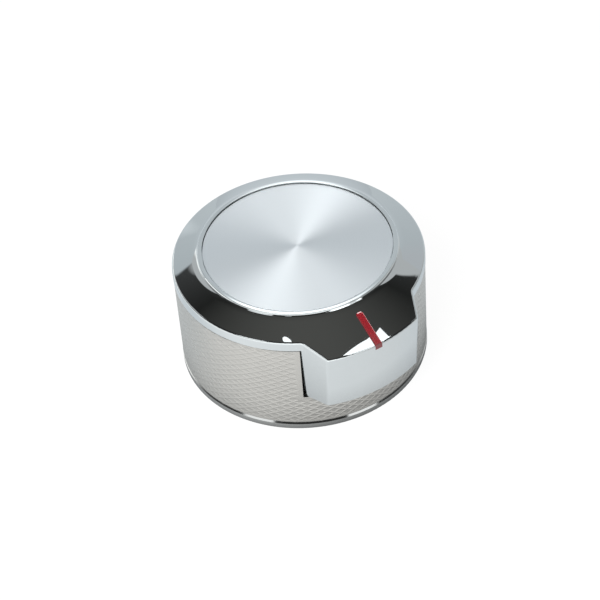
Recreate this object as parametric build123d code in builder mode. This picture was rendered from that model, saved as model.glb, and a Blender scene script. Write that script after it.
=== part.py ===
from build123d import *
import os
from math import cos, radians, sin, sqrt, tan

# A round push-on stove knob: chromed bezel with a pointer block, spun disc, knurled sleeve and moulded core

# Overall form, in millimetres, with the stem axis on Z and the pointer towards -Y
grip_radius = 25.0
knob_height = 26.0
slip_gap = 0.05

# Grip sleeve, a knurled tube measured over the tips of its knurl
sleeve_wall = 1.2
sleeve_edge = 0.25
notch_gap = 0.2

# Base ring, the plain rim that the sleeve stands on
ring_height = 1.55
ring_floor = 1.0
ring_width = 5.0
ring_shoulder = 0.35
ring_round = 0.12

# Bezel, the bevelled cap with a bead around the disc
lip_height = 1.95
bevel_angle = 23.8
bead_width = 1.02
bead_rise = 0.4
bead_slope = 0.23
bead_crown = 5.0
bead_round = 0.08
bead_foot = 0.5
bezel_wall = 1.6
edge_round = 0.6

# Pointer block at the front of the bezel
pointer_base_width = 25.5
pointer_facet_angle = 23.4
pointer_sink = 0.3
pointer_reach = 3.83
pointer_lean = 0.85
pointer_draft = 1.5
pointer_bottom = 8.9
pointer_round = 1.0
corner_round = 1.2

# Red pointer bar, let into the bevel
bar_width = 1.5
bar_start = 3.1
bar_rise = 0.35
bar_depth = 0.8
bar_round = 0.3
bar_end_round = 0.5

# Spun disc and the adhesive film under it
disc_gap = 0.1
disc_radius = 18.75
disc_thickness = 0.8
disc_recess = 0.25
disc_edge = 0.1
film_thickness = 0.2
film_margin = 1.2

# Moulded core with its web, hub and ribs
core_wall = 2.0
web_thickness = 2.0
web_drop = 2.9
rib_count = 4
rib_thickness = 1.4
rib_start = 10.5
rib_angle = 45.0

# Socket for a D-shaped valve stem
stem_diameter = 6.0
stem_across_flat = 4.6
stem_gap = 0.05
collar_gap = 0.3
collar_depth = 4.0
socket_depth = 15.0
hub_wall = 1.8
hub_slot = 1.0
hub_slot_depth = 9.5

# Split spring that squeezes the hub
spring_thickness = 0.6
spring_height = 6.0
spring_start = 2.0
spring_opening = 60.0

# Screws and locating pegs between core and bezel
screw_circle = 13.5
screw_count = 2
screw_angle = 0.0
pilot_radius = 1.2
screw_gap = 0.02
screw_bite = 3.0
screw_hole_gap = 0.4
head_radius = 2.5
head_height = 1.7
drive_width = 0.7
drive_length = 2.8
drive_depth = 0.9
boss_wall = 1.4
peg_radius = 1.5

# Radii and heights that follow from the sizes above
sleeve_inner = grip_radius - sleeve_wall
core_radius = sleeve_inner - slip_gap
core_inner = core_radius - core_wall
ring_inner = grip_radius - ring_width
recess_radius = disc_radius + disc_gap
bevel_inner = recess_radius + bead_width
bevel_top = knob_height - bead_rise
bevel_slope = tan(radians(bevel_angle))
crown_slope = tan(radians(bead_crown))
bead_shoulder = bevel_inner - bead_slope


def crown_height(radius):
    return knob_height - crown_slope * (radius - recess_radius)


def bevel_height(radius):
    return bevel_top - bevel_slope * (radius - bevel_inner)


bevel_edge = bevel_height(grip_radius)
lip_bottom = bevel_edge - lip_height
sleeve_top = lip_bottom - slip_gap
disc_bottom = knob_height - disc_recess - disc_thickness
recess_floor = disc_bottom - film_thickness
cap_under = recess_floor - bezel_wall
core_top = bevel_height(sleeve_inner) - bezel_wall / cos(radians(bevel_angle))
web_top = cap_under - web_drop
web_bottom = web_top - web_thickness
front_radius = grip_radius + pointer_reach
front_low_radius = front_radius - pointer_lean
front_height = bevel_height(front_radius)
front_growth = pointer_lean / (front_height - pointer_bottom)
front_top_radius = front_low_radius + front_growth * (knob_height - pointer_bottom)
pocket_roof = front_height - bezel_wall / cos(radians(bevel_angle))
socket_radius = stem_diameter / 2 + stem_gap
collar_radius = stem_diameter / 2 + collar_gap
socket_flat = stem_across_flat - stem_diameter / 2 + stem_gap
spring_inner = collar_radius + hub_wall
hub_collar = spring_inner + spring_thickness / 2
hub_radius = spring_inner + spring_thickness
boss_radius = pilot_radius + boss_wall
peg_angle = screw_angle + 180 / screw_count


def pointer_outline(front, rear, inset=0.0):
    """The block seen from above: points of its front arc, right side, rear arc and left side."""
    lean = radians(pointer_facet_angle)
    base_x = pointer_base_width / 2 - inset / cos(lean)
    base_y = sqrt((grip_radius - pointer_sink) ** 2 - (pointer_base_width / 2) ** 2)
    along = base_y * cos(lean) - base_x * sin(lean)
    run = sqrt(along**2 + front**2 - base_x**2 - base_y**2) - along
    front_x = base_x - run * sin(lean)
    front_y = base_y + run * cos(lean)
    rear_y = sqrt(rear**2 - base_x**2)
    front_arc = [(-front_x, -front_y), (0, -front), (front_x, -front_y)]
    right_side = [(front_x, -front_y), (base_x, -base_y), (base_x, -rear_y)]
    rear_arc = [(base_x, -rear_y), (0, -rear), (-base_x, -rear_y)]
    left_side = [(-base_x, -rear_y), (-base_x, -base_y), (-front_x, -front_y)]
    return front_arc, right_side, rear_arc, left_side


def bar_outline(start, end):
    """The pointer bar seen from the side: its corners, following the bevel between two radii."""
    upright = 1 / cos(radians(bevel_angle))
    return [
        (-start, bevel_height(start) - bar_depth * upright),
        (-start, bevel_height(start) + bar_rise * upright),
        (-end, bevel_height(end) + bar_rise * upright),
        (-end, bevel_height(end) - bar_depth * upright),
    ]


# Base ring
with BuildPart() as base_ring:
    with BuildSketch(Plane.XZ) as ring_section:
        with BuildLine():
            Polyline(
                (ring_inner, 0),
                (grip_radius, 0),
                (grip_radius, ring_height),
                (sleeve_inner, ring_height),
                (sleeve_inner, ring_floor),
                (ring_inner, ring_floor),
                close=True,
            )
        make_face()
        chamfer(ring_section.vertices().group_by(Axis.X)[-1].sort_by(Axis.Y)[-1], ring_shoulder)
        fillet(ring_section.vertices().group_by(Axis.X)[-1].sort_by(Axis.Y)[0], ring_round)
    revolve(axis=Axis.Z)

# Grip sleeve
with BuildPart() as grip_sleeve:
    with BuildSketch(Plane.XZ) as sleeve_section:
        with BuildLine():
            Polyline(
                (sleeve_inner, ring_height),
                (grip_radius, ring_height),
                (grip_radius, sleeve_top),
                (sleeve_inner, sleeve_top),
                close=True,
            )
        make_face()
        chamfer(sleeve_section.vertices().group_by(Axis.X)[-1], sleeve_edge)
    revolve(axis=Axis.Z)
    with BuildSketch(Plane.XY.offset(pointer_bottom - notch_gap)):
        with Locations((0, -grip_radius)):
            Rectangle(pointer_base_width + 2 * notch_gap, grip_radius)
    extrude(amount=knob_height, mode=Mode.SUBTRACT)

# Core with web, hub and ribs
with BuildPart() as core_body:
    with BuildSketch(Plane.XZ):
        with BuildLine():
            Polyline(
                (0, 0),
                (hub_collar, 0),
                (hub_collar, spring_start),
                (spring_inner, spring_start),
                (spring_inner, spring_start + spring_height),
                (hub_radius, spring_start + spring_height),
                (hub_radius, web_bottom),
                (core_inner, web_bottom),
                (core_inner, ring_floor),
                (core_radius, ring_floor),
                (core_radius, core_top),
                (core_inner, core_top),
                (core_inner, web_top),
                (0, web_top),
                close=True,
            )
        make_face()
    revolve(axis=Axis.Z)
    rib_middle = (hub_radius + core_inner) / 2
    rib_length = core_inner - hub_radius + core_wall
    with BuildSketch(Plane.XY.offset(rib_start)):
        with PolarLocations(rib_middle, rib_count, start_angle=rib_angle):
            Rectangle(rib_length, rib_thickness)
    extrude(amount=web_bottom - rib_start)
    with BuildSketch():
        Circle(collar_radius)
    extrude(amount=collar_depth, mode=Mode.SUBTRACT)
    with BuildSketch(Plane.XY.offset(collar_depth)):
        Circle(socket_radius)
        with Locations((0, socket_flat)):
            Rectangle(
                stem_diameter * 2,
                stem_diameter,
                align=(Align.CENTER, Align.MIN),
                mode=Mode.SUBTRACT,
            )
    extrude(amount=socket_depth - collar_depth, mode=Mode.SUBTRACT)
    with BuildSketch():
        Rectangle(2 * (hub_radius + spring_thickness), hub_slot)
    extrude(amount=hub_slot_depth, mode=Mode.SUBTRACT)
    with BuildSketch(Plane.XY.offset(web_bottom)):
        with PolarLocations(screw_circle, screw_count, start_angle=screw_angle):
            Circle(pilot_radius + screw_hole_gap)
        with PolarLocations(screw_circle, screw_count, start_angle=peg_angle):
            Circle(peg_radius + slip_gap)
    extrude(amount=web_thickness, mode=Mode.SUBTRACT)

# Split spring round the hub
with BuildPart() as stem_spring:
    with BuildSketch(Plane.XY.offset(spring_start)):
        Circle(hub_radius)
        Circle(spring_inner + screw_gap, mode=Mode.SUBTRACT)
        opening = 2 * hub_radius * tan(radians(spring_opening / 2))
        with BuildLine():
            Polyline((0, 0), (-opening, -2 * hub_radius), (opening, -2 * hub_radius), close=True)
        make_face(mode=Mode.SUBTRACT)
    extrude(amount=spring_height)

# Pointer bar, rounded over its top and its inner end
with BuildPart() as pointer_bar:
    with BuildSketch(Plane.YZ):
        with BuildLine():
            Polyline(*bar_outline(grip_radius - bar_start, front_radius), close=True)
        make_face()
    extrude(amount=bar_width / 2, both=True)
    fillet(pointer_bar.edges().filter_by(Axis.Z).group_by(Axis.Y)[-1], bar_end_round)
    bar_top = pointer_bar.faces().sort_by(lambda face: face.normal_at().Z)[-1]
    fillet(bar_top.edges(), bar_round)

# Bezel with pointer block, screw bosses and locating pegs
with BuildPart() as bezel:
    front_arc, right_side, rear_arc, left_side = pointer_outline(front_top_radius + bezel_wall, sleeve_inner)
    with BuildSketch(Plane.XY.offset(pointer_bottom)):
        with BuildLine():
            ThreePointArc(*front_arc)
            Polyline(*right_side)
            ThreePointArc(*rear_arc)
            Polyline(*left_side)
        make_face()
    extrude(amount=knob_height - pointer_bottom)
    side_faces = bezel.faces().filter_by(GeomType.PLANE).filter_by(Axis.Z, reverse=True)
    draft(side_faces, Plane.XY.offset(front_height), -pointer_draft)
    with BuildSketch(Plane.XZ):
        with BuildLine():
            Polyline(
                (front_low_radius, pointer_bottom),
                (front_top_radius, knob_height),
                (2 * grip_radius, knob_height),
                (2 * grip_radius, pointer_bottom),
                close=True,
            )
        make_face()
    revolve(axis=Axis.Z, mode=Mode.SUBTRACT)
    fillet(bezel.faces().sort_by(Axis.Y)[0].edges().group_by(Axis.Z)[1], pointer_round)
    with BuildSketch(Plane.XZ):
        with BuildLine():
            Polyline(
                (0, cap_under),
                (core_inner - slip_gap, cap_under),
                (core_inner - slip_gap, core_top),
                (sleeve_inner, core_top),
                (sleeve_inner, lip_bottom),
                (grip_radius, lip_bottom),
                (grip_radius, knob_height),
                (recess_radius, knob_height),
                (recess_radius, recess_floor),
                (0, recess_floor),
                close=True,
            )
        make_face()
    revolve(axis=Axis.Z)
    with BuildSketch(Plane.XZ):
        with BuildLine():
            Polyline(
                (0, crown_height(0)),
                (bead_shoulder, crown_height(bead_shoulder)),
                (bevel_inner, bevel_top),
                (2 * grip_radius, bevel_height(2 * grip_radius)),
                (2 * grip_radius, crown_height(0)),
                close=True,
            )
        make_face()
    revolve(axis=Axis.Z, mode=Mode.SUBTRACT)
    fillet(bezel.edges().filter_by(GeomType.CIRCLE).group_by(Axis.Z)[-3], bead_foot)
    shoulder_edges, inner_edges = bezel.edges().filter_by(GeomType.CIRCLE).group_by(Axis.Z)[-2:]
    fillet(shoulder_edges + inner_edges, bead_round)
    lip_corners = bezel.edges().filter_by(GeomType.ELLIPSE).group_by(Axis.Y)[0]
    fillet(lip_corners, corner_round)
    bevel_face = bezel.faces().filter_by(GeomType.CONE).sort_by(SortBy.AREA)[-1]
    rim_edges = bevel_face.edges().filter_by(GeomType.LINE, reverse=True).sort_by(Axis.Z)[:-1]
    fillet(rim_edges, edge_round)
    front_arc, right_side, rear_arc, left_side = pointer_outline(
        front_low_radius - bezel_wall, core_inner, bezel_wall
    )
    with BuildSketch(Plane.XY.offset(pointer_bottom)):
        with BuildLine():
            ThreePointArc(*front_arc)
            Polyline(*right_side)
            ThreePointArc(*rear_arc)
            Polyline(*left_side)
        make_face()
    extrude(amount=pocket_roof - pointer_bottom, mode=Mode.SUBTRACT)
    add(pointer_bar.part, mode=Mode.SUBTRACT)
    with BuildSketch(Plane.XY.offset(web_top)):
        with PolarLocations(screw_circle, screw_count, start_angle=screw_angle):
            Circle(boss_radius)
        with PolarLocations(screw_circle, screw_count, start_angle=peg_angle):
            Circle(boss_radius)
    extrude(amount=web_drop)
    with BuildSketch(Plane.XY.offset(web_bottom)):
        with PolarLocations(screw_circle, screw_count, start_angle=peg_angle):
            Circle(peg_radius)
    extrude(amount=web_thickness)
    with BuildSketch(Plane.XY.offset(web_top)):
        with PolarLocations(screw_circle, screw_count, start_angle=screw_angle):
            Circle(pilot_radius + screw_gap)
    extrude(amount=screw_bite + screw_gap, mode=Mode.SUBTRACT)

# Spun disc
with BuildPart() as face_disc:
    with BuildSketch(Plane.XY.offset(disc_bottom)):
        Circle(disc_radius)
    extrude(amount=disc_thickness)
    chamfer(face_disc.edges().group_by(Axis.Z)[-1], disc_edge)

# Adhesive film under the disc
with BuildPart() as disc_film:
    with BuildSketch(Plane.XY.offset(recess_floor)):
        Circle(disc_radius - film_margin)
    extrude(amount=film_thickness)

# Fixing screws with a cross drive
with BuildPart() as fixing_screws:
    with BuildSketch(Plane.XY.offset(web_bottom - head_height)):
        with PolarLocations(screw_circle, screw_count, start_angle=screw_angle):
            Circle(head_radius)
    extrude(amount=head_height)
    fillet(fixing_screws.edges().group_by(Axis.Z)[0], head_height / 3)
    with BuildSketch(Plane.XY.offset(web_bottom)):
        with PolarLocations(screw_circle, screw_count, start_angle=screw_angle):
            Circle(pilot_radius)
    extrude(amount=web_thickness + screw_bite)
    with BuildSketch(Plane.XY.offset(web_bottom - head_height)):
        with PolarLocations(screw_circle, screw_count, start_angle=screw_angle):
            Rectangle(drive_length, drive_width)
            Rectangle(drive_width, drive_length)
    extrude(amount=drive_depth, mode=Mode.SUBTRACT)

# Labels and STEP files
os.makedirs("parts", exist_ok=True)
base_ring.part.label = "base_ring"
grip_sleeve.part.label = "grip_sleeve"
core_body.part.label = "core_body"
stem_spring.part.label = "stem_spring"
bezel.part.label = "bezel"
pointer_bar.part.label = "pointer_bar"
face_disc.part.label = "face_disc"
disc_film.part.label = "disc_film"
fixing_screws.part.label = "fixing_screws"
export_step(base_ring.part, "parts/base_ring.step")
export_step(grip_sleeve.part, "parts/grip_sleeve.step")
export_step(core_body.part, "parts/core_body.step")
export_step(stem_spring.part, "parts/stem_spring.step")
export_step(bezel.part, "parts/bezel.step")
export_step(pointer_bar.part, "parts/pointer_bar.step")
export_step(face_disc.part, "parts/face_disc.step")
export_step(disc_film.part, "parts/disc_film.step")
export_step(fixing_screws.part, "parts/fixing_screws.step")
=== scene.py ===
import math

import bmesh
import bpy
from mathutils import Matrix, Vector


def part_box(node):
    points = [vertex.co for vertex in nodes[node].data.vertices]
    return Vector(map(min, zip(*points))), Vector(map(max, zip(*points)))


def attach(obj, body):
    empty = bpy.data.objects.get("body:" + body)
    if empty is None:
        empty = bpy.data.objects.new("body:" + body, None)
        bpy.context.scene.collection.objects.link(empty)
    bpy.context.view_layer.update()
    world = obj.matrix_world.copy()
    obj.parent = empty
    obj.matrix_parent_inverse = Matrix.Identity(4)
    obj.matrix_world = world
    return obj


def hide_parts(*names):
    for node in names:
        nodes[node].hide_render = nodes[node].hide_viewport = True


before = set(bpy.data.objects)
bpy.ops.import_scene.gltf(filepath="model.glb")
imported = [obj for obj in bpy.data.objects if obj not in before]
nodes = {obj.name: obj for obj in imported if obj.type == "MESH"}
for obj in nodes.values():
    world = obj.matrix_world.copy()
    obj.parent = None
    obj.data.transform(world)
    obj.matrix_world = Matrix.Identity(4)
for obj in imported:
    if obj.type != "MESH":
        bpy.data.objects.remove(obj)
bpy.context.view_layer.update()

mm = 0.001
tiny = 0.001 * mm  # places closer than this count as one
fullTurn = 2 * math.pi
scene = bpy.context.scene
scene.view_settings.view_transform = "Standard"
print("frame loaded:", ", ".join(sorted(nodes)))


# small helpers for node trees

def freshTree(owner):
    owner.use_nodes = True
    owner.node_tree.nodes.clear()
    return owner.node_tree


def addNode(tree, kind, inputs=None, **settings):
    node = tree.nodes.new(kind)
    for name, value in settings.items():
        setattr(node, name, value)
    for name, value in (inputs or {}).items():
        socket = node.inputs[name]
        if isinstance(value, bpy.types.NodeSocket):
            tree.links.new(value, socket)
        else:
            socket.default_value = value
    return node


def mathNode(tree, operation, first, second=0.0):
    return addNode(tree, "ShaderNodeMath", {0: first, 1: second}, operation=operation).outputs[0]


def product(tree, first, *others):
    for other in others:
        first = mathNode(tree, "MULTIPLY", first, other)
    return first


def vectorNode(tree, operation, first, second=(0, 0, 0)):
    return addNode(tree, "ShaderNodeVectorMath", {0: first, 1: second}, operation=operation)


def dotNode(tree, first, second):
    return vectorNode(tree, "DOT_PRODUCT", first, second).outputs["Value"]


def lengthNode(tree, vector):
    return vectorNode(tree, "LENGTH", vector).outputs["Value"]


def objectPlace(tree):
    return addNode(tree, "ShaderNodeTexCoord").outputs["Object"]


def axisDistance(tree, place):
    flat = vectorNode(tree, "MULTIPLY", place, (1, 1, 0)).outputs["Vector"]
    return lengthNode(tree, flat)


def spread(tree, value, low, high, lowResult, highResult, smooth=False):
    kind = "SMOOTHSTEP" if smooth else "LINEAR"
    inputs = {"Value": value, "From Min": low, "From Max": high, "To Min": lowResult, "To Max": highResult}
    return addNode(tree, "ShaderNodeMapRange", inputs, interpolation_type=kind, clamp=True).outputs["Result"]


def mixColour(tree, share, first, second, blend="MIX"):
    def padded(colour):
        return colour if isinstance(colour, bpy.types.NodeSocket) else (*colour, 1.0)
    inputs = {"Fac": share, "Color1": padded(first), "Color2": padded(second)}
    return addNode(tree, "ShaderNodeMixRGB", inputs, blend_type=blend).outputs[0]


def colourRamp(tree, value, stops):
    node = addNode(tree, "ShaderNodeValToRGB", {"Fac": value})
    elements = node.color_ramp.elements
    while len(elements) < len(stops):
        elements.new(0.5)
    for element, (place, colour) in zip(elements, stops):
        element.position = place
        element.color = (*colour, 1.0)
    return node.outputs["Color"]


def noiseNode(tree, place, scale, detail, roughness=0.5):
    inputs = {"Vector": place, "Scale": scale, "Detail": detail, "Roughness": roughness}
    return addNode(tree, "ShaderNodeTexNoise", inputs).outputs["Fac"]


def bumpNode(tree, height, strength, depth, under=None):
    inputs = {"Height": height, "Strength": strength, "Distance": depth}
    if under is not None:
        inputs["Normal"] = under
    return addNode(tree, "ShaderNodeBump", inputs).outputs["Normal"]


def shaded(tree, share, tint, darkest):
    return mixColour(tree, share, tint, [channel * darkest for channel in tint])


def grey(level):
    return (level, level, level)


def finishMaterial(tree, shader):
    addNode(tree, "ShaderNodeOutputMaterial", {"Surface": shader.outputs[0]})


# small helpers for pieces

def meshPiece(name, bm, material, smoothAngle=None):
    bmesh.ops.recalc_face_normals(bm, faces=bm.faces)
    mesh = bpy.data.meshes.new(name)
    bm.to_mesh(mesh)
    bm.free()
    if smoothAngle is not None:
        mesh.shade_smooth()
        mesh.set_sharp_from_angle(angle=math.radians(smoothAngle))
    piece = bpy.data.objects.new(name, mesh)
    scene.collection.objects.link(piece)
    mesh.materials.append(material)
    return piece


def spinProfile(bm, points, steps):
    verts = [bm.verts.new((radius, 0.0, height)) for radius, height in points]
    edges = [bm.edges.new(pair) for pair in zip(verts, verts[1:])]
    bmesh.ops.spin(bm, geom=verts + edges, cent=(0, 0, 0), axis=(0, 0, 1), angle=fullTurn,
                   steps=steps, use_merge=True)
    bmesh.ops.remove_doubles(bm, verts=bm.verts, dist=tiny)


def dressNode(name, material):
    node = nodes[name]
    node.data.materials.clear()
    node.data.materials.append(material)


# the photographer's view, which the studio's walls are turned to

cameraView = {
    "azimuth": -28.6,
    "elevation": 44.49,
    "distance": 0.4002,
    "roll": -4.6,
    "lens": 117.04,
    "sensor": 36.0,
    "nearest": 0.01,
    "aimHeight": 0.0110,
    "aimSide": -0.00036,
}

viewTurn = math.radians(cameraView["azimuth"])
viewRight = Vector((math.cos(viewTurn), math.sin(viewTurn), 0))
viewAway = Vector((-math.sin(viewTurn), math.cos(viewTurn), 0))
viewUp = Vector((0, 0, 1))


def studioVector(side, away, up):
    return viewRight * side + viewAway * away + viewUp * up


def makeCamera():
    lift = math.radians(cameraView["elevation"])
    eye = studioVector(0, -math.cos(lift), math.sin(lift)) * cameraView["distance"]
    aim = studioVector(cameraView["aimSide"], 0, cameraView["aimHeight"])
    camera = bpy.data.objects.new("photoCamera", bpy.data.cameras.new("photoCamera"))
    camera.data.lens = cameraView["lens"]
    camera.data.sensor_width = cameraView["sensor"]
    camera.data.clip_start = cameraView["nearest"]
    lookQuat = (aim - eye).to_track_quat("-Z", "Y")
    rollQuat = Matrix.Rotation(math.radians(cameraView["roll"]), 3, "Z").to_quaternion()
    camera.rotation_mode = "QUATERNION"
    camera.location = eye
    camera.rotation_quaternion = lookQuat @ rollQuat
    scene.collection.objects.link(camera)
    scene.camera = camera
    print("camera placed")


# studio room: white to the eye, with pale walls and a dark ceiling for the chrome
# directions are (side, away, up) as the photographer sees them, and heights are the up share of one

lowStrip = (0.10, 0.20, 0.46, 0.54)  # heights where a strip starts, is full, falls off and ends
highStrip = (0.74, 0.80, 0.90, 0.95)

studio = {
    "plainLevel": 0.70,
    "walls": [(0.0, (0.66, 0.695, 0.715)), (0.5, (0.58, 0.61, 0.63))],
    "ceiling": [(0.20, (0.10, 0.10, 0.10)), (0.74, (0.021, 0.021, 0.020)), (1.0, (0.098, 0.095, 0.088))],
    "horizonLeft": (1.35, 1.34, 1.32),
    "horizonFront": (1.70, 1.69, 1.67),
    "horizonRight": (0.70, 0.70, 0.69),
    "horizonSides": (0.2, 0.8),
    "horizonHeights": (0.36, 0.56),
    "horizonDrop": 0.20,
    "horizonDropFade": (-0.80, -0.30),
    "backdrop": (0.058, 0.93, 0.36),
    "backdropEdge": (41.2, 39.8),
    "discGlow": {"toward": (0.0, 0.713, 0.701), "angles": (28.0, 6.0), "level": 0.08},
    "strips": [  # pairs for the beams on the disc, wide and then narrow
        {"turn": 4.0, "widths": (30.0, 17.0), "heights": lowStrip, "level": 1.8},
        {"turn": 7.0, "widths": (5.0, 5.0), "heights": lowStrip, "level": 0.9},
        {"turn": -6.0, "widths": (17.0, 30.0), "heights": highStrip, "level": 1.75},
        {"turn": -10.0, "widths": (5.0, 5.0), "heights": highStrip, "level": 0.9},
    ],
    "stripAway": (0.2, 0.3),
    "sideGlow": {
        "left": (0.816, 0.828), "right": (0.764, 0.772), "lean": 0.35,
        "away": (-0.02, 0.08), "rise": (0.50, 0.60), "riseLean": 0.5, "level": 0.60,
    },
    "sideBoxes": [
        {"toward": (-0.57, -0.51, 0.65), "angles": (12.0, 10.0), "level": 1.25},
        {"toward": (0.57, -0.51, 0.65), "angles": (12.0, 10.0), "level": 1.25},
    ],
}


def makeWorld():
    world = bpy.data.worlds.new("studioRoom")
    scene.world = world
    tree = freshTree(world)
    direction = addNode(tree, "ShaderNodeTexCoord").outputs["Generated"]

    def along(vector):
        return dotNode(tree, direction, vector)

    def spot(light):
        wide, tight = (math.cos(math.radians(angle)) for angle in light["angles"])
        middle = studioVector(*light["toward"]).normalized()
        return spread(tree, along(middle), wide, tight, 0.0, light["level"], smooth=True)

    height = along(viewUp)
    side = along(viewRight)
    away = along(viewAway)

    # pale walls where the backdrop is, and a bright horizon under a dark ceiling everywhere else
    walls = colourRamp(tree, height, studio["walls"])
    ceiling = colourRamp(tree, height, studio["ceiling"])
    near, far = studio["horizonSides"]
    leftShare = spread(tree, side, -far, -near, 1.0, 0.0, smooth=True)
    rightShare = spread(tree, side, near, far, 0.0, 1.0, smooth=True)
    horizon = mixColour(tree, leftShare, studio["horizonFront"], studio["horizonLeft"])
    horizon = mixColour(tree, rightShare, horizon, studio["horizonRight"])
    drop = spread(tree, away, *studio["horizonDropFade"], 0.0, studio["horizonDrop"])
    lifted = mathNode(tree, "ADD", height, drop)
    aboveHorizon = spread(tree, lifted, *studio["horizonHeights"], 0.0, 1.0, smooth=True)
    dark = mixColour(tree, aboveHorizon, horizon, ceiling)
    outside, inside = (math.cos(math.radians(angle)) for angle in studio["backdropEdge"])
    backdropAxis = studioVector(*studio["backdrop"]).normalized()
    darkShare = spread(tree, along(backdropAxis), outside, inside, 1.0, 0.0, smooth=True)
    room = mixColour(tree, darkShare, walls, dark)

    # lights that the disc and the chrome show
    behind = spread(tree, away, *studio["stripAway"], 0.0, 1.0)
    glow = 0.0
    for strip in studio["strips"]:
        stripTurn = math.radians(strip["turn"])
        across = along(studioVector(math.cos(stripTurn), -math.sin(stripTurn), 0))
        left, right = (math.sin(math.radians(angle)) for angle in strip["widths"])
        start, full, fall, end = strip["heights"]
        lit = product(tree, spread(tree, across, -left, 0.0, 0.0, strip["level"]),
                      spread(tree, across, 0.0, right, 1.0, 0.0),
                      spread(tree, height, start, full, 0.0, 1.0, smooth=True),
                      spread(tree, height, fall, end, 1.0, 0.0, smooth=True), behind)
        glow = mathNode(tree, "ADD", glow, lit)
    for light in (studio["discGlow"], *studio["sideBoxes"]):
        glow = mathNode(tree, "ADD", glow, spot(light))
    room = mixColour(tree, 1.0, room, glow, blend="ADD")

    # the bevel's pale left and right
    wings = studio["sideGlow"]
    rise = mathNode(tree, "ADD", height, mathNode(tree, "MULTIPLY", away, wings["riseLean"]))
    limits = product(tree, spread(tree, away, *wings["away"], 0.0, wings["level"]),
                     spread(tree, rise, *wings["rise"], 0.0, 1.0))
    for sign, edge in ((-1, wings["left"]), (1, wings["right"])):
        wing = spread(tree, along(viewRight * sign + viewAway * wings["lean"]), *edge, 0.0, 1.0)
        room = mixColour(tree, 1.0, room, product(tree, wing, limits), blend="LIGHTEN")

    path = addNode(tree, "ShaderNodeLightPath")
    mirrored = mixColour(tree, path.outputs["Is Glossy Ray"], grey(studio["plainLevel"]), room)
    seen = mixColour(tree, path.outputs["Is Camera Ray"], mirrored, grey(1.0))
    shader = addNode(tree, "ShaderNodeBackground", {"Color": seen, "Strength": 1.0})
    addNode(tree, "ShaderNodeOutputWorld", {"Surface": shader.outputs[0]})
    print("studio room lit")


# floor: white paper that keeps the shadow, and that the metal shows darker near the knob, behind it and to
# its right, by painted shade (in metres)

floorPaper = {
    "radius": 1.6,
    "sides": 64,
    "tone": 0.86,
    "glow": 1.05,
    "cameraShare": 0.86,
    "mirrorShare": 0.45,
    # painted shade behind the knob and to its right, in the floor that the metal shows
    "behind": (0.73, 0.77, 0.80),
    "behindShadeFade": (-0.034, 0.004),
    "right": 0.82,
    "rightShadeFade": (-0.03, 0.06),
    # painted shade round the knob's base, in the floor that the metal shows
    "contactShadeLevel": 0.55,
    "contactShadeFade": (0.0252, 0.0268),
    "skirtShadeLevels": (0.78, 0.55),
    "skirtTurn": (-0.012, 0.006),
    "skirtFade": (0.0268, 0.038),
}


def makeFloor():
    material = bpy.data.materials.new("paperFloor")
    tree = freshTree(material)
    path = addNode(tree, "ShaderNodeLightPath")
    mirrored = mathNode(tree, "MAXIMUM", path.outputs["Is Glossy Ray"], path.outputs["Is Transmission Ray"])
    cameraShare = mathNode(tree, "MULTIPLY", path.outputs["Is Camera Ray"], floorPaper["cameraShare"])
    mirrorShare = mathNode(tree, "MULTIPLY", mirrored, floorPaper["mirrorShare"])
    share = mathNode(tree, "MAXIMUM", cameraShare, mirrorShare)
    place = objectPlace(tree)
    reach = lengthNode(tree, place)
    sideways = dotNode(tree, place, viewRight)
    # painted shade in what the metal shows of the floor: darker close round the knob's base, more so to the
    # right
    paintedSkirtShade = spread(tree, sideways, *floorPaper["skirtTurn"], *floorPaper["skirtShadeLevels"])
    paintedContactShade = product(tree, spread(tree, reach, *floorPaper["contactShadeFade"], floorPaper["contactShadeLevel"], 1.0),
                      spread(tree, reach, *floorPaper["skirtFade"], paintedSkirtShade, 1.0))
    # painted shade: the floor that the metal shows is darker to the right of the knob and behind it
    paintedShadeRightwards = spread(tree, sideways, *floorPaper["rightShadeFade"], 1.0, floorPaper["right"])
    behind = spread(tree, dotNode(tree, place, viewAway), *floorPaper["behindShadeFade"], 0.0, 1.0, smooth=True)
    tone = mixColour(tree, behind, paintedShadeRightwards, floorPaper["behind"])
    tone = mixColour(tree, 1.0, tone, paintedContactShade, blend="MULTIPLY")
    # painted shade: only the rays that the metal sends see this darker floor, and all other rays see it
    # untinted
    tone = mixColour(tree, mirrored, grey(1.0), tone)  # only what metal shows of the floor falls off
    paperTone = mixColour(tree, 1.0, tone, grey(floorPaper["tone"]), blend="MULTIPLY")
    paper = addNode(tree, "ShaderNodeBsdfDiffuse", {"Color": paperTone})
    glow = addNode(tree, "ShaderNodeEmission", {"Color": tone, "Strength": floorPaper["glow"]})
    mix = addNode(tree, "ShaderNodeMixShader", {0: share, 1: paper.outputs[0], 2: glow.outputs[0]})
    finishMaterial(tree, mix)
    bm = bmesh.new()
    bmesh.ops.create_circle(bm, cap_ends=True, segments=floorPaper["sides"], radius=floorPaper["radius"])
    floor = meshPiece("paperFloor", bm, material)
    print("floor laid")


# lamps: one key light, and small ones near the knob that only the named nodes show
# each hangs its reach away from its anchor, in metres, and faces it, with its second size turned to "along"

glintSide = (0.300, -0.112, 0.947)
glintReach = 0.025

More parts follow.
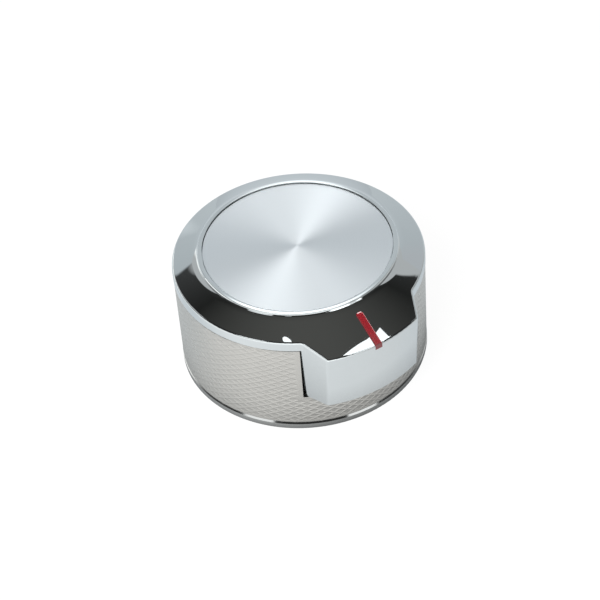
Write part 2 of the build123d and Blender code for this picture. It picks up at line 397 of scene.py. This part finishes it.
softboxes = {
    "keyBox": {
        "anchor": (0, 0, 0.02), "toward": (-0.62, -0.43, 0.66), "along": (0.5, -0.8, 0),
        "reach": 0.6, "shape": "RECTANGLE", "size": (0.34, 0.26), "power": 3.0, "onlyOn": (),
    },
    "pointerGlintLeft": {
        "anchor": (-0.0051, -0.0342, 0.0225), "toward": glintSide, "along": (-0.952, -0.084, 0.292),
        "reach": glintReach, "shape": "RECTANGLE", "size": (0.014, 0.0123), "power": 0.00087,
        "onlyOn": ("bezel", "pointer_bar"),
    },
    "pointerGlintRight": {
        "anchor": (0.0053, -0.0306, 0.0196), "toward": glintSide, "along": (-0.868, -0.443, 0.222),
        "reach": glintReach, "shape": "RECTANGLE", "size": (0.010, 0.0035), "power": 0.00018,
        "onlyOn": ("bezel", "pointer_bar"),
    },
    "pointerGlintEnd": {
        "anchor": (0.0065, -0.0307, 0.0192), "toward": glintSide, "along": (0.951, -0.027, -0.305),
        "reach": glintReach, "shape": "RECTANGLE", "size": (0.006, 0.0022), "power": 0.000068,
        "onlyOn": ("bezel",),
    },
    "lipGlint": {
        "anchor": (-0.0145, -0.01955, 0.0238), "toward": (-0.111, 0.031, 0.993),
        "along": (0.551, -0.831, 0.087), "reach": 0.010, "shape": "ELLIPSE", "size": (0.0010, 0.0024),
        "power": 0.0000095,
        "onlyOn": ("bezel",),
    },
    "barGlint": {
        "anchor": (0, -0.0219, 0.0250), "toward": (0.341, 0.626, 0.701), "along": (0.878, -0.479, 0),
        "reach": 0.06, "shape": "RECTANGLE", "size": (0.060, 0.060), "power": 0.12,
        "onlyOn": ("pointer_bar",),
    },
    "barEdge": {
        "anchor": (0, -0.0250, 0.0235), "toward": (0.949, 0.218, 0.227), "along": (-0.2, 0.97, 0),
        "reach": 0.12, "shape": "RECTANGLE", "size": (0.040, 0.040), "power": 0.02,
        "onlyOn": ("pointer_bar",),
    },
}


def makeLamps():
    for name, box in softboxes.items():
        lamp = bpy.data.lights.new(name, "AREA")
        lamp.shape = box["shape"]
        lamp.size, lamp.size_y = box["size"]
        lamp.energy = box["power"]
        holder = bpy.data.objects.new(name, lamp)
        facing = Vector(box["toward"]).normalized()
        along = Vector(box["along"])
        along = (along - facing * along.dot(facing)).normalized()
        turned = Matrix((along.cross(facing), along, facing)).transposed()
        holder.location = Vector(box["anchor"]) + facing * box["reach"]
        holder.rotation_mode = "QUATERNION"
        holder.rotation_quaternion = turned.to_quaternion()
        holder.visible_glossy = bool(box["onlyOn"])  # the key light stays out of the chrome
        if box["onlyOn"]:
            lit = bpy.data.collections.new(name)
            for node in box["onlyOn"]:
                lit.objects.link(nodes[node])
            holder.light_linking.receiver_collection = lit
        scene.collection.objects.link(holder)
    print("softboxes hung:", ", ".join(softboxes))


# chrome: a bright plate with a breath of haze, bent a little where the bezel is hollow (in millimetres)

chromeHaze = {
    "scale": 90.0,
    "detail": 4.0,
    "roughness": 0.6,
    "range": (0.35, 0.75),
    "dulling": 2.2,
    "darkest": 0.96,
    "swellScale": 220.0,
    "swellDetail": 1.0,
    "swellStrength": 0.05,
    "swellDepth": 0.02,
}

chromeFinishes = {
    "bezelChrome": {
        "tint": (0.65, 0.695, 0.71),
        "polish": 0.02,
        "coves": [  # the bevel is a little hollow and sweeps up towards the bead
            {"inner": 19.9, "outer": 20.95, "radius": 7.0},
            {"inner": 19.9, "outer": 24.0, "radius": 79.0},
        ],
        "facets": [  # the bead's inner side leans to the disc
            {"inner": 18.85, "outer": 19.15, "slope": -0.2},
        ],
    },
    "rimChrome": {"tint": (0.60, 0.615, 0.61), "polish": 0.08, "coves": [], "facets": []},
}


def chromePlate(name):
    finish = chromeFinishes[name]
    polish = finish["polish"]
    material = bpy.data.materials.new(name)
    tree = freshTree(material)
    place = objectPlace(tree)
    haze = noiseNode(tree, place, chromeHaze["scale"], chromeHaze["detail"], chromeHaze["roughness"])
    rough = spread(tree, haze, *chromeHaze["range"], polish, polish * chromeHaze["dulling"])
    shade = shaded(tree, haze, finish["tint"], chromeHaze["darkest"])
    swell = noiseNode(tree, place, chromeHaze["swellScale"], chromeHaze["swellDetail"])
    normal = bumpNode(tree, swell, chromeHaze["swellStrength"], chromeHaze["swellDepth"] * mm)
    radius = axisDistance(tree, place)
    for cove in finish["coves"]:
        inner, outer = cove["inner"] * mm, cove["outer"] * mm
        inward = spread(tree, radius, inner, outer, outer - inner, 0.0)
        sweep = mathNode(tree, "DIVIDE", product(tree, inward, inward), 2 * cove["radius"] * mm)
        normal = bumpNode(tree, sweep, 1.0, 1.0, under=normal)
    for facet in finish["facets"]:
        inner, outer = facet["inner"] * mm, facet["outer"] * mm
        lean = spread(tree, radius, inner, outer, (outer - inner) * facet["slope"], 0.0)
        normal = bumpNode(tree, lean, 1.0, 1.0, under=normal)
    shader = addNode(tree, "ShaderNodeBsdfPrincipled", {
        "Base Color": shade, "Metallic": 1.0, "Roughness": rough, "Normal": normal})
    finishMaterial(tree, shader)
    return material


# spun metal: fine rings (in millimetres), with a shine that stretches across them

discFinish = {
    "tint": (0.79, 0.834, 0.86),
    "darkest": 0.92,
    "roughness": 0.33,
    "anisotropy": 0.96,
    "shineTurn": 0.25,
    "ringPitch": 0.16,
    "ringDepth": 0.004,
    "ringDetail": 2.0,
    "ringRoughness": 0.7,
    "ringStrength": 0.25,
}


def spunMetal(name):
    material = bpy.data.materials.new(name)
    tree = freshTree(material)
    radius = axisDistance(tree, objectPlace(tree))
    turns = mathNode(tree, "MULTIPLY", radius, 1.0 / (discFinish["ringPitch"] * mm))
    rings = addNode(tree, "ShaderNodeTexNoise", {
        "W": turns, "Scale": 1.0, "Detail": discFinish["ringDetail"],
        "Roughness": discFinish["ringRoughness"]}, noise_dimensions="1D").outputs["Fac"]
    shade = shaded(tree, rings, discFinish["tint"], discFinish["darkest"])
    normal = bumpNode(tree, rings, discFinish["ringStrength"], discFinish["ringDepth"] * mm)
    around = addNode(tree, "ShaderNodeTangent", direction_type="UV_MAP", uv_map="turned").outputs[0]
    shader = addNode(tree, "ShaderNodeBsdfPrincipled", {
        "Base Color": shade, "Metallic": 1.0, "Roughness": discFinish["roughness"],
        "Anisotropic": discFinish["anisotropy"], "Anisotropic Rotation": discFinish["shineTurn"],
        "Normal": normal, "Tangent": around})
    finishMaterial(tree, shader)
    return material


# satin metal and moulded plastic: a grain in the gloss and the relief, and clouds in the colour

grainLook = {
    "range": (0.3, 0.7),
    "swing": (0.85, 1.15),
    "strength": 0.3,
    "detail": 3.0,
    "cloudDetail": 2.0,
}


def grainyGloss(tree, grain, roughness):
    return spread(tree, grain, *grainLook["range"], *(roughness * share for share in grainLook["swing"]))


satinLook = {
    "grainScale": 900.0,
    "grainRoughness": 0.65,
    "grainDepth": 0.01,
    "cloudScale": 60.0,
    "darkest": 0.9,
}

satinFinishes = {
    "knurledAluminium": {"tint": (0.58, 0.576, 0.55), "roughness": 0.30},
    "springSteel": {"tint": (0.42, 0.42, 0.43), "roughness": 0.3},
    "zincSteel": {"tint": (0.62, 0.62, 0.60), "roughness": 0.28},
}


def satinMetal(name):
    finish = satinFinishes[name]
    material = bpy.data.materials.new(name)
    tree = freshTree(material)
    place = objectPlace(tree)
    grain = noiseNode(tree, place, satinLook["grainScale"], grainLook["detail"], satinLook["grainRoughness"])
    cloud = noiseNode(tree, place, satinLook["cloudScale"], grainLook["cloudDetail"])
    shade = shaded(tree, cloud, finish["tint"], satinLook["darkest"])
    rough = grainyGloss(tree, grain, finish["roughness"])
    normal = bumpNode(tree, grain, grainLook["strength"], satinLook["grainDepth"] * mm)
    shader = addNode(tree, "ShaderNodeBsdfPrincipled", {
        "Base Color": shade, "Metallic": 1.0, "Roughness": rough, "Normal": normal})
    finishMaterial(tree, shader)
    return material


plasticLook = {"cloudScale": 120.0, "darkest": 0.82, "coatRoughness": 0.05}

plasticFinishes = {
    "redPointer": {
        "tint": (0.15, 0.006, 0.010), "roughness": 0.16, "coat": 0.6,
        "grainScale": 400.0, "grainDepth": 0.0005,
    },
    "corePlastic": {
        "tint": (0.035, 0.035, 0.038), "roughness": 0.45, "coat": 0.0,
        "grainScale": 1800.0, "grainDepth": 0.02,
    },
    "adhesiveFilm": {
        "tint": (0.75, 0.73, 0.68), "roughness": 0.5, "coat": 0.0,
        "grainScale": 700.0, "grainDepth": 0.01,
    },
}


def mouldedPlastic(name):
    finish = plasticFinishes[name]
    material = bpy.data.materials.new(name)
    tree = freshTree(material)
    place = objectPlace(tree)
    grain = noiseNode(tree, place, finish["grainScale"], grainLook["detail"])
    cloud = noiseNode(tree, place, plasticLook["cloudScale"], grainLook["cloudDetail"])
    shade = shaded(tree, cloud, finish["tint"], plasticLook["darkest"])
    rough = grainyGloss(tree, grain, finish["roughness"])
    normal = bumpNode(tree, grain, grainLook["strength"], finish["grainDepth"] * mm)
    shader = addNode(tree, "ShaderNodeBsdfPrincipled", {
        "Base Color": shade, "Roughness": rough, "Coat Weight": finish["coat"],
        "Coat Roughness": plasticLook["coatRoughness"], "Normal": normal})
    finishMaterial(tree, shader)
    return material


# knurled sleeve: a turned band whose outside is pressed into diamonds (in millimetres)

knurl = {
    "columns": 60,
    "rows": 14,
    "depth": 0.06,
    "flank": 0.26,
    "skin": 0.002,
    "coreGap": 0.05,
    "plainEdge": 0.45,
    "notchMargin": 0.8,
    "notchLowest": 2.0,
    "edgeBreak": 0.2,
}


def cutNotch(sleeve, halfWidth, bottom, outer, top):
    cutter = bmesh.new()
    bmesh.ops.create_cube(cutter, size=1.0)
    bmesh.ops.scale(cutter, vec=(2 * halfWidth, outer, top), verts=cutter.verts)
    bmesh.ops.translate(cutter, vec=(0, -outer, bottom + top / 2), verts=cutter.verts)
    cutPiece = meshPiece("notchCutter", cutter, sleeve.data.materials[0])
    cut = sleeve.modifiers.new("notch", "BOOLEAN")
    cut.operation = "DIFFERENCE"
    cut.solver = "EXACT"
    cut.object = cutPiece
    bpy.context.view_layer.update()
    shaped = bpy.data.meshes.new_from_object(sleeve.evaluated_get(bpy.context.evaluated_depsgraph_get()))
    sleeve.modifiers.clear()
    sleeve.data = shaped
    bpy.data.objects.remove(cutPiece)


def makeSleeve(material):
    low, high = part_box("grip_sleeve")
    corners = [vert.co for vert in nodes["grip_sleeve"].data.vertices if vert.co.y < 0]
    halfNotch = min(abs(co.x) for co in corners if co.z > high.z - tiny)
    aboveBase = low.z + knurl["notchLowest"] * mm
    notchFloor = min(co.z for co in corners if abs(co.x) < halfNotch / 2 and co.z > aboveBase)
    outer = high.x
    root = outer - (knurl["depth"] + knurl["skin"]) * mm
    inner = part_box("core_body")[1].x + knurl["coreGap"] * mm
    middle = (inner + root) / 2
    edge = knurl["edgeBreak"] * mm
    plain = knurl["plainEdge"] * mm
    fieldLow, fieldHigh = low.z + plain, high.z - plain
    rise = (fieldHigh - fieldLow) / knurl["rows"]
    heights = [fieldLow + rise * row for row in range(knurl["rows"] + 1)]
    outline = [(inner, low.z), (root - edge, low.z), (root, low.z + edge)]
    outline += [(root, z) for z in heights]
    outline += [(root, high.z - edge), (root - edge, high.z), (inner, high.z), (inner, low.z)]
    bm = bmesh.new()
    spinProfile(bm, outline, knurl["columns"])

    def onField(face):
        centre = face.calc_center_median()
        return fieldLow < centre.z < fieldHigh and centre.xy.length > middle

    field = [face for face in bm.faces if onField(face)]
    fieldEdges = {side for face in field for side in face.edges}
    oldEdges = [side for side in fieldEdges if all(onField(face) for face in side.link_faces)]
    bmesh.ops.poke(bm, faces=field)  # a vertex in every cell
    bmesh.ops.dissolve_edges(bm, edges=oldEdges)  # what is left runs on the slant, as diamonds
    for vert in bm.verts:
        if vert.co.xy.length > middle and fieldLow - tiny < vert.co.z < fieldHigh + tiny:
            vert.co.xy = vert.co.xy.normalized() * root
    margin = knurl["notchMargin"] * mm

    def clearOfNotch(face):
        centre = face.calc_center_median()
        inWidth = abs(centre.x) < halfNotch + margin
        return not (centre.y < 0 and centre.z > notchFloor - margin and inWidth)

    diamonds = [face for face in bm.faces if onField(face) and clearOfNotch(face)]
    bmesh.ops.inset_individual(bm, faces=diamonds, thickness=knurl["flank"] * mm, depth=knurl["depth"] * mm,
                               use_even_offset=True)  # each diamond stands on four flanks
    sleeve = meshPiece("knurledSleeve", bm, material)
    cutNotch(sleeve, halfNotch, notchFloor, outer, high.z)
    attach(sleeve, "root")
    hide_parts("grip_sleeve")
    print("sleeve knurled:", len(diamonds), "diamonds")


# spun disc: turned from a profile (in millimetres), with a map that follows the tool round

discShape = {"steps": 240, "edgeBreak": 0.08, "edgeRound": 0.3, "rings": 6, "smoothAngle": 30}


def mapTurned(bm, reach):
    turned = bm.loops.layers.uv.new("turned")
    for face in bm.faces:
        middle = face.calc_center_median()
        seam = math.atan2(middle.y, middle.x)
        for loop in face.loops:
            x, y = loop.vert.co.xy
            swing = 0.0
            if math.hypot(x, y) > tiny:
                swing = (math.atan2(y, x) - seam + math.pi) % fullTurn - math.pi
            loop[turned].uv = ((seam + swing) / fullTurn, math.hypot(x, y) / reach)


def makeDisc(material):
    low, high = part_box("face_disc")
    rim = high.x
    edge = discShape["edgeBreak"] * mm
    rounding = edge * discShape["edgeRound"]
    flat = [(rim - edge) * ring / discShape["rings"] for ring in range(discShape["rings"] + 1)]
    flat.insert(-1, rim - 2 * edge)  # keeps the flat's shading flat
    outline = [(radius, high.z) for radius in flat]
    outline += [(rim - rounding, high.z - rounding), (rim, high.z - edge), (rim, low.z), (0.0, low.z)]
    bm = bmesh.new()
    spinProfile(bm, outline, discShape["steps"])
    mapTurned(bm, rim)
    disc = meshPiece("spunDisc", bm, material, smoothAngle=discShape["smoothAngle"])
    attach(disc, "root")
    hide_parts("face_disc")
    print("disc turned")


makeCamera()
makeWorld()
makeFloor()
makeLamps()
makeSleeve(satinMetal("knurledAluminium"))
makeDisc(spunMetal("spunAluminium"))
dressNode("bezel", chromePlate("bezelChrome"))
dressNode("base_ring", chromePlate("rimChrome"))
dressNode("pointer_bar", mouldedPlastic("redPointer"))
dressNode("core_body", mouldedPlastic("corePlastic"))
dressNode("disc_film", mouldedPlastic("adhesiveFilm"))
dressNode("stem_spring", satinMetal("springSteel"))
dressNode("fixing_screws", satinMetal("zincSteel"))
print("finishes on")
